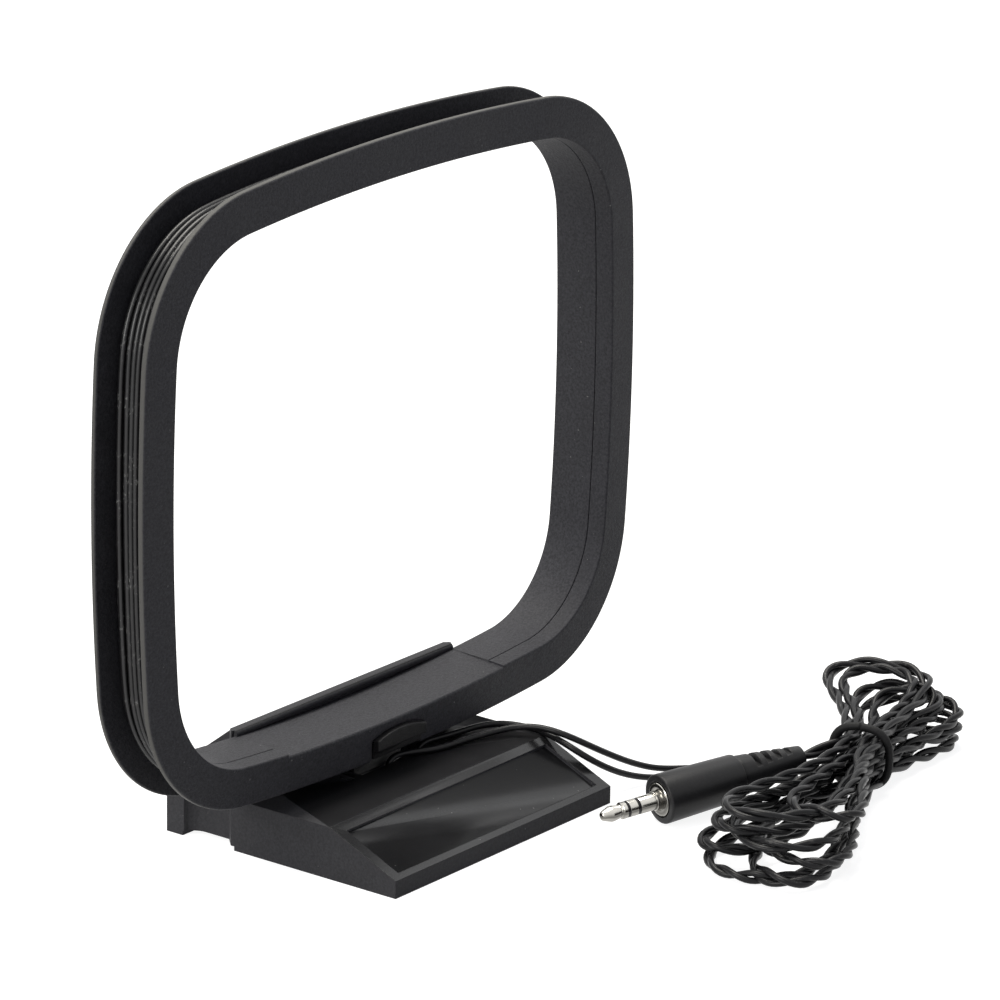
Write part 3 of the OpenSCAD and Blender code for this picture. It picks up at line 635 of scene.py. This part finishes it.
tieSpec = {
    "wire": 1.9, "sides": 12, "half": 7.0, "height": 7.2, "shift": 0.4, "middle": 8.3,
    "square": 0.25,  # squarer than a circle
    "skew": 0.25, "skewBack": 0.1, "points": 60, "rounds": 6, "step": 0.7,
}


def tieLine(spec, hank):
    def swollen(v):
        return math.copysign(abs(v) ** (1 - spec["square"]), v)

    points = []
    for k in range(spec["points"] + 1):
        u = k / spec["points"]
        a = 2 * math.pi * u + math.pi / 2
        points.append((spec["skew"] * u - spec["skewBack"], spec["shift"] + spec["half"] * swollen(math.cos(a)),
                       spec["middle"] + spec["height"] * swollen(math.sin(a))))
    ring = relaxed([hankPlace(hank, v) for v in points], spec["rounds"])
    return evenly(ring, spec["step"])


tiePiece = tubePiece("tieRing", tieLine(tieSpec, hankSpec), tieSpec, finish["tie"])
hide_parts("hank_tie")
print("tie made")

# loop

outline = {
    "width": 173.5, "bottom": 15.7, "height": 143.8, "side": 530.0, "top": 610.0, "foot": 635.0, "widest": 74.8,
    "cornerHigh": 36.0, "cornerLow": 34.5,
}


def crossing(a, ra, b, rb, s):  # where two circles meet
    a, b = np.array(a), np.array(b)
    d = np.linalg.norm(b - a)
    e = (b - a) / d
    x = (ra * ra - rb * rb + d * d) / (2 * d)
    return a + e * x + s * math.sqrt(ra * ra - x * x) * np.array([-e[1], e[0]])


def bearing(v):
    return math.atan2(v[1], v[0])


# points on the outer edge with their normals, once round from the bottom
def outlineStations(o, perSide, perCorner, stops=()):
    side = np.array([o["width"] / 2 - o["side"], o["bottom"] + o["widest"]])
    top = np.array([0, o["bottom"] + o["height"] - o["top"]])
    foot = np.array([0, o["bottom"] + o["foot"]])
    high = crossing(side, o["side"] - o["cornerHigh"], top, o["top"] - o["cornerHigh"], 1)
    low = crossing(side, o["side"] - o["cornerLow"], foot, o["foot"] - o["cornerLow"], -1)
    arcs = [(foot, o["foot"], -math.pi / 2, bearing(low - foot), perSide // 2),
            (low, o["cornerLow"], bearing(low - foot), bearing(low - side), perCorner),
            (side, o["side"], bearing(low - side), bearing(high - side), perSide),
            (high, o["cornerHigh"], bearing(high - side), bearing(high - top), perCorner),
            (top, o["top"], bearing(high - top), math.pi / 2, perSide // 2)]
    half = []
    for c, r, a0, a1, n in arcs:
        angles = [a0 + (a1 - a0) * (k + 0.5) / n for k in range(n)]
        if c is foot:
            angles = sorted(angles + [-math.acos(x / o["foot"]) for x in stops])
        for a in angles:
            w = np.array([math.cos(a), math.sin(a)])
            half.append((c + r * w, w))
    flip = np.array([-1, 1])
    return half + [(p * flip, w * flip) for p, w in reversed(half)]


bobbinSpec = {
    "front": -1.5, "crown": 0.75, "inner": 0.15, "seam": 2.25, "back": 12.15, "rear": 13.45, "core": 7.3, "wall": 1.0,
    "mouth": 9.35, "bandEnd": 9.65, "rearWide": 10.0,  # the window opens a little towards the front
    "floorMouth": 8.85, "floorRear": 10.05, "floorHalf": 39.15, "floorStep": 0.02, "floorBelow": 20.0,
    "outerRound": 0.6, "backRound": 0.45, "windowRound": 0.4, "lipRound": 0.16, "rearRound": 0.35,
    "floorRearRound": 0.4, "floorMouthRound": 0.55, "stubRound": 0.25, "fit": 0.15, "rimDepth": 0.03,
    "perSide": 40, "perCorner": 34, "roundSteps": 4, "sharp": 32, "evenWeight": 100,
}
# bay that the claw reaches through, and a seat behind its lip
notchSpec = {"half": 8.85, "ends": 20.65, "arch": 1.3, "base": 13.0, "from": -4.0, "to": 0.18, "steps": 24}
seatSpec = dict(notchSpec, half=9.3, ends=21.2, arch=1.7, to=-1.7)
straightHalf = 1.5  # half of a corner's angle from which it counts as a straight run, in radians


def filletedLoop(corners, steps):  # closed section, each corner with its own radius
    out = []
    count = len(corners)
    for k, (x, y, r) in enumerate(corners):
        here = np.array([x, y])
        back = np.array(corners[k - 1][:2]) - here
        on = np.array(corners[(k + 1) % count][:2]) - here
        if r <= 0:
            out.append(here)
            continue
        back, on = back / np.linalg.norm(back), on / np.linalg.norm(on)
        half = math.acos(max(-1, min(1, back @ on))) / 2
        if half > straightHalf:
            out += [here + back * r * (1 - 2 * i / steps) for i in range(steps + 1)]
            continue
        middle = here + (back + on) / np.linalg.norm(back + on) * r / math.sin(half)
        a0 = here + back * r / math.tan(half) - middle
        a1 = here + on * r / math.tan(half) - middle
        for i in range(steps + 1):
            u = i / steps
            v = a0 * (1 - u) + a1 * u
            out.append(middle + v / np.linalg.norm(v) * r)
    return out


def hoopPiece(name, stations, sections, rimDepth, mat):  # one section per station, joined once round
    verts = []
    for (p, w), section in zip(stations, sections):
        for a, y in section:
            x, z = p - w * a
            verts.append((x * mm, y * mm, z * mm))
    piece = newPiece(name, verts, bandFaces(len(stations), len(sections[0]), True), mat)
    rim = piece.data.attributes.new("rim", "FLOAT", "POINT")
    rim.data.foreach_set("value", [1.0 if a < rimDepth else 0.0 for section in sections for a, y in section])
    facedOutward(piece)
    return piece


def bobbinHalves(b):
    stops = (b["floorHalf"] - b["floorStep"], b["floorHalf"] + b["floorStep"])
    stations = outlineStations(outline, b["perSide"], b["perCorner"], stops)
    floorTop = outline["bottom"] + b["floorBelow"]
    plainFloor = [abs(p[0]) < b["floorHalf"] and p[1] < floorTop for p, w in stations]
    core, fit, seam, back, rear, lip = (b[key] for key in ("core", "fit", "seam", "back", "rear", "lipRound"))
    face = b["front"] - b["crown"]
    inside = core + b["wall"]
    # both sections of a half have as many points, some of them on straight runs
    head = [(0, b["front"], b["outerRound"]), (0, b["inner"], b["backRound"]), (core, b["inner"], 0)]
    frontRing = head + [(core, back - fit, 0), (inside, back - fit, 0), (inside, seam, 0), (b["bandEnd"], seam, lip),
                        (b["mouth"], face, b["windowRound"])]
    frontFloor = head + [(core, rear, 0), (core + 0.5, rear, 0), (core + 1.0, rear, 0),
                         (b["floorRear"], rear, b["floorRearRound"]), (b["floorMouth"], face, b["floorMouthRound"])]
    skirt = [(0, back, b["backRound"])]
    tail = [(0, rear, b["outerRound"])]
    liner = inside + fit
    rearRing = skirt + [(liner, back, 0), (liner, seam + fit, 0), (b["bandEnd"], seam + fit, lip),
                        (b["rearWide"], rear, b["rearRound"])] + tail
    stub = core - 2 * fit
    rearFloor = skirt + [(stub, back, 0), (stub, back + 0.4, 0), (stub, back + 0.9, lip),
                         (stub, rear, b["stubRound"])] + tail
    halves = []
    for name, ring, floor in (("bobbinFront", frontRing, frontFloor), ("bobbinRear", rearRing, rearFloor)):
        ring, floor = filletedLoop(ring, b["roundSteps"]), filletedLoop(floor, b["roundSteps"])
        sections = [floor if low else ring for low in plainFloor]
        halves.append(hoopPiece(name, stations, sections, b["rimDepth"], finish["bobbin"]))
    return halves


def archCutter(n):
    radius = (n["half"] ** 2 + n["arch"] ** 2) / (2 * n["arch"])
    edge = [(-n["half"], n["base"]), (n["half"], n["base"])]
    for k in range(n["steps"] + 1):
        x = n["half"] * (1 - 2 * k / n["steps"])
        edge.append((x, n["ends"] + n["arch"] - radius + math.sqrt(radius ** 2 - x * x)))
    count = len(edge)
    verts = [(x * mm, y * mm, z * mm) for y in (n["from"], n["to"]) for x, z in edge]
    faces = [tuple(range(count)), tuple(reversed(range(count, 2 * count)))]
    faces += [(i, i + count, (i + 1) % count + count, (i + 1) % count) for i in range(count)]
    return newPiece("notchCutter", verts, faces, finish["bobbin"], False)


bobbinFront, bobbinRear = bobbinHalves(bobbinSpec)
for spec in (notchSpec, seatSpec):
    carved(bobbinFront, archCutter(spec))
for piece, node in ((bobbinFront, "front_bobbin_half"), (bobbinRear, "rear_bobbin_half")):
    flatNormals(piece, bobbinSpec["sharp"], bobbinSpec["evenWeight"])
    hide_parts(node)
print("bobbin halves made")

windingSpec = {
    "wire": 1.4, "sides": 10, "lower": 7, "upper": 6,  # mm, and turns in each layer
    "inset": 6.58, "lift": 1.29, "front": 0.98, "rear": 11.32, "upperRear": 0.9, "upperFront": 0.5,
    "wander": 0.28, "wanderPace": (2.3 * 2 * math.pi / 1.7 + 0.7, 5.1),
    "bulgeLower": 0.06, "bulgeUpper": 0.12, "bulgePace": 9.7, "bulgeFrom": 1.3,
    "perSide": 26, "perCorner": 22, "rounds": 6,
}


def windingLine(spec):
    stations = outlineStations(outline, spec["perSide"], spec["perCorner"])
    n = len(stations)
    front, rear = spec["front"], spec["rear"]
    upperRear, upperFront = rear - spec["upperRear"], front + spec["upperFront"]
    quick, slow = spec["wanderPace"]
    points = []
    for k in range((spec["lower"] + spec["upper"]) * n + 1):
        p, w = stations[k % n]
        turn = k / n
        if turn < spec["lower"]:
            y = front + (rear - front) * turn / spec["lower"]
            inset, bulge = spec["inset"], spec["bulgeLower"]
        else:
            y = upperRear - (upperRear - upperFront) * (turn - spec["lower"]) / spec["upper"]
            inset, bulge = spec["inset"] - spec["lift"], spec["bulgeUpper"]
        y += spec["wander"] * math.sin(quick * turn) * math.sin(slow * turn)
        inset -= bulge * (1 + math.sin(turn * spec["bulgePace"] + spec["bulgeFrom"]))
        x, z = p - w * inset
        points.append((x, y, z))
    return relaxed(points, spec["rounds"])


winding = tubePiece("loopWinding", windingLine(windingSpec), windingSpec, finish["winding"])
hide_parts("loop_winding")
print("winding made")

# stand and claw

standSpec = {
    "sharp": 20, "sink": 0.5, "deckLow": 8.0, "deckBack": 3.0,  # degrees and mm
    "slope": (0.3, 0.7), "slopeUp": 0.5, "level": 0.98,  # how far a face leans forward, and up
}


def glossPanelShadeDeck(piece, spec):  # the slope's sunk field gets a glossier finish; the deck and the slope's rims get a darker, smoother copy of the plastic, painted shade
    panel, deck = 1, 2
    piece.data.materials.append(finish["panel"])
    piece.data.materials.append(finish["deck"])
    low, high = spec["slope"]
    slope = [f for f in piece.data.polygons if low < -f.normal.y < high and f.normal.z > spec["slopeUp"]]
    top = max((f.center.dot(f.normal) for f in slope), default=0)
    for f in slope:
        f.material_index = panel if f.center.dot(f.normal) < top - spec["sink"] * mm else deck
    for f in piece.data.polygons:
        forward = f.center.z > spec["deckLow"] * mm and f.center.y < spec["deckBack"] * mm
        if forward and f.normal.z > spec["level"]:
            f.material_index = deck


standPiece = plainSolid("stand_base", "standShell", finish["stand"], standSpec["sharp"])
glossPanelShadeDeck(standPiece, standSpec)
clawPiece = plainSolid("snap_claw", "clawTab", finish["claw"], standSpec["sharp"])
print("stand made")

# plug

reliefSpec = {"round": 0.2, "segments": 2, "angle": 25, "flat": 0.4}
turnSpec = {"sides": 48, "sharp": 28}
jackSpec = {  # mm in front of the grip's face, and radius
    "plug_grip": ("plugGrip", "grip", [
        (-1.4, 4.15), (-0.08, 4.2), (0.0, 4.3), (0.0, 5.3), (-0.04, 5.5), (-0.16, 5.66), (-0.34, 5.76), (-0.6, 5.79),
        (-20.35, 5.31), (-20.58, 5.22), (-20.7, 5.02), (-20.7, 2.4), (-19.7, 2.4), (-19.7, 3.4), (-6.7, 3.4),
        (-6.7, 1.55), (-1.4, 1.55)]),
    "jack_collar": ("plugCollar", "nickel", [
        (-1.35, 0.0), (-1.35, 3.9), (0.04, 3.9), (0.18, 3.78), (0.26, 3.55), (0.26, 2.6), (0.16, 2.4), (0.16, 0.0)]),
    "jack_sleeve": ("plugSleeve", "nickel", [
        (0.1, 0.0), (0.1, 2.22), (1.5, 2.22), (1.62, 2.14), (1.68, 1.98), (5.7, 1.98), (5.8, 1.93), (5.8, 0.0)]),
    "insulator_rear": ("plugInsulatorRear", "insulator", [(5.75, 0.0), (5.75, 1.92), (6.6, 1.92), (6.6, 0.0)]),
    "jack_ring": ("plugRing", "nickel", [
        (6.55, 0.0), (6.55, 1.93), (6.63, 1.98), (8.52, 1.98), (8.6, 1.93), (8.6, 0.0)]),
    "insulator_front": ("plugInsulatorFront", "insulator", [(8.55, 0.0), (8.55, 1.92), (9.36, 1.92), (9.36, 0.0)]),
    "jack_tip": ("plugTip", "nickel", [
        (9.32, 0.0), (9.32, 1.94), (9.4, 1.99), (10.3, 1.99), (10.42, 1.88), (10.6, 1.54), (10.8, 1.5), (11.1, 1.6),
        (12.6, 1.84), (13.2, 1.84), (13.4, 1.77), (15.15, 1.12), (15.42, 0.92), (15.56, 0.66), (15.6, 0.36),
        (15.6, 0.0)]),
}


def spunPiece(name, front, way, profile, spec, mat):  # turned round the plug's line
    axis = -np.array(way)
    across = np.cross(axis, [0, 0, 1.0])
    across /= np.linalg.norm(across)
    upright = np.cross(across, axis)
    sides = spec["sides"]
    ring = np.linspace(0, 2 * math.pi, sides, endpoint=False)
    hollow = profile[0][1] > 0  # a closed section, or one that runs from axis to axis
    line = profile if hollow else profile[1:-1]
    count = len(line)
    verts = [(front + d * axis + r * (math.cos(a) * across + math.sin(a) * upright)) * mm
             for d, r in line for a in ring]
    faces = bandFaces(count, sides, hollow)
    if not hollow:
        faces += [tuple(reversed(range(sides))), tuple(range((count - 1) * sides, count * sides))]
    piece = newPiece(name, verts, faces, mat)
    facedOutward(piece)
    piece.data.set_sharp_from_angle(angle=math.radians(spec["sharp"]))
    return piece


plugFront, plugWay, _ = plugLine(plugSpec)
plugSide = Vector((-plugWay[1], plugWay[0], 0))
relief = roundedSolid("plug_strain_relief", "plugRelief", finish["grip"], reliefSpec, Vector(plugFront) * mm, plugSide)
plugSkins = [(relief, "grip")]
for node, (name, look, profile) in jackSpec.items():
    piece = spunPiece(name, plugFront, plugWay, profile, turnSpec, finish[look])
    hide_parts(node)
    plugSkins.append((piece, look))
plugPieces = [piece for piece, look in plugSkins]
for node in ("conductor_tip", "conductor_sleeve"):
    core = bpy.data.objects[node]
    core.data.materials.clear()
    core.data.materials.append(finish["copper"])
    plugPieces.append(core)
print("plug made")

# what rides on what

rides = {
    "loop": [bobbinFront, bobbinRear, winding],
    "claw": [clawPiece],
    "stand": [standPiece, tiePiece] + [piece for piece, look in plugSkins],
}
for body, items in rides.items():
    for item in items:
        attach(item, body)
for key, piece in cordPieces.items():
    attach(piece, "stand")

# floor, backdrop and light

stageSpec = {
    "floor": 6.0, "floorColor": (0.34, 0.34, 0.34), "floorRough": 0.9, "floorGlow": 0.88,
    "worldLight": (0.19, 0.2, 0.24), "worldSeen": (1.05, 1.05, 1.05),
}
lampSpec = {
    "key": {"place": (0.12, 0.36, 1.42), "size": (1.1, 0.9), "power": 33.0, "color": (1.0, 0.97, 0.9)},
    "left": {"place": (-1.3, 0.15, 0.6), "size": (0.7, 0.7), "power": 13.0, "color": (1.0, 0.98, 0.95)},
    "right": {"place": (0.81, 0.05, 0.74), "size": (0.3, 0.3), "power": 0.5, "color": (0.98, 0.99, 1.0)},
}
lampAim = (0.02, -0.02, 0.06)


def seenDirectly(tree):  # 1 where the background itself is seen, also in metal
    path = tree.nodes.new("ShaderNodeLightPath")
    total = path.outputs["Is Camera Ray"]
    for kind in ("Is Glossy Ray", "Is Transmission Ray"):
        either = tree.nodes.new("ShaderNodeMath")
        either.operation = "MAXIMUM"
        tree.links.new(total, either.inputs[0])
        tree.links.new(path.outputs[kind], either.inputs[1])
        total = either.outputs[0]
    return total


def addStage(spec):
    s = spec["floor"]
    n = Nodes("paleFloor")
    n.shader.inputs["Base Color"].default_value = (*spec["floorColor"], 1)
    n.shader.inputs["Roughness"].default_value = spec["floorRough"]
    n.shader.inputs["Specular IOR Level"].default_value = 0.0
    n.shader.inputs["Emission Color"].default_value = (1, 1, 1, 1)
    glow = n.add("ShaderNodeMath", operation="MULTIPLY")
    glow.inputs[1].default_value = spec["floorGlow"]
    n.join(seenDirectly(n.tree), glow.inputs[0])
    n.join(glow.outputs[0], n.shader.inputs["Emission Strength"])
    floor = newPiece("paleFloor", [(-s, -s, 0), (s, -s, 0), (s, s, 0), (-s, s, 0)], [(0, 1, 2, 3)], n.mat, False)
    world = bpy.data.worlds.new("paleRoom")
    scene.world = world
    world.use_nodes = True
    tree = world.node_tree
    back = tree.nodes["Background"]
    seen = tree.nodes.new("ShaderNodeMix")
    seen.data_type = "RGBA"
    seen.inputs[6].default_value = (*spec["worldLight"], 1)
    seen.inputs[7].default_value = (*spec["worldSeen"], 1)
    tree.links.new(seenDirectly(tree), seen.inputs[0])
    tree.links.new(seen.outputs[2], back.inputs["Color"])


def addLamps(spec, aim):
    for name, lamp in spec.items():
        data = bpy.data.lights.new(name + "Lamp", "AREA")
        data.shape = "RECTANGLE"
        data.size, data.size_y = lamp["size"]
        data.energy = lamp["power"]
        data.color = lamp["color"]
        obj = bpy.data.objects.new(name + "Lamp", data)
        place = Vector(lamp["place"])
        obj.location = place
        obj.rotation_euler = (Vector(aim) - place).to_track_quat("-Z", "Y").to_euler()
        scene.collection.objects.link(obj)


addStage(stageSpec)
addLamps(lampSpec, lampAim)
print("stage lit")
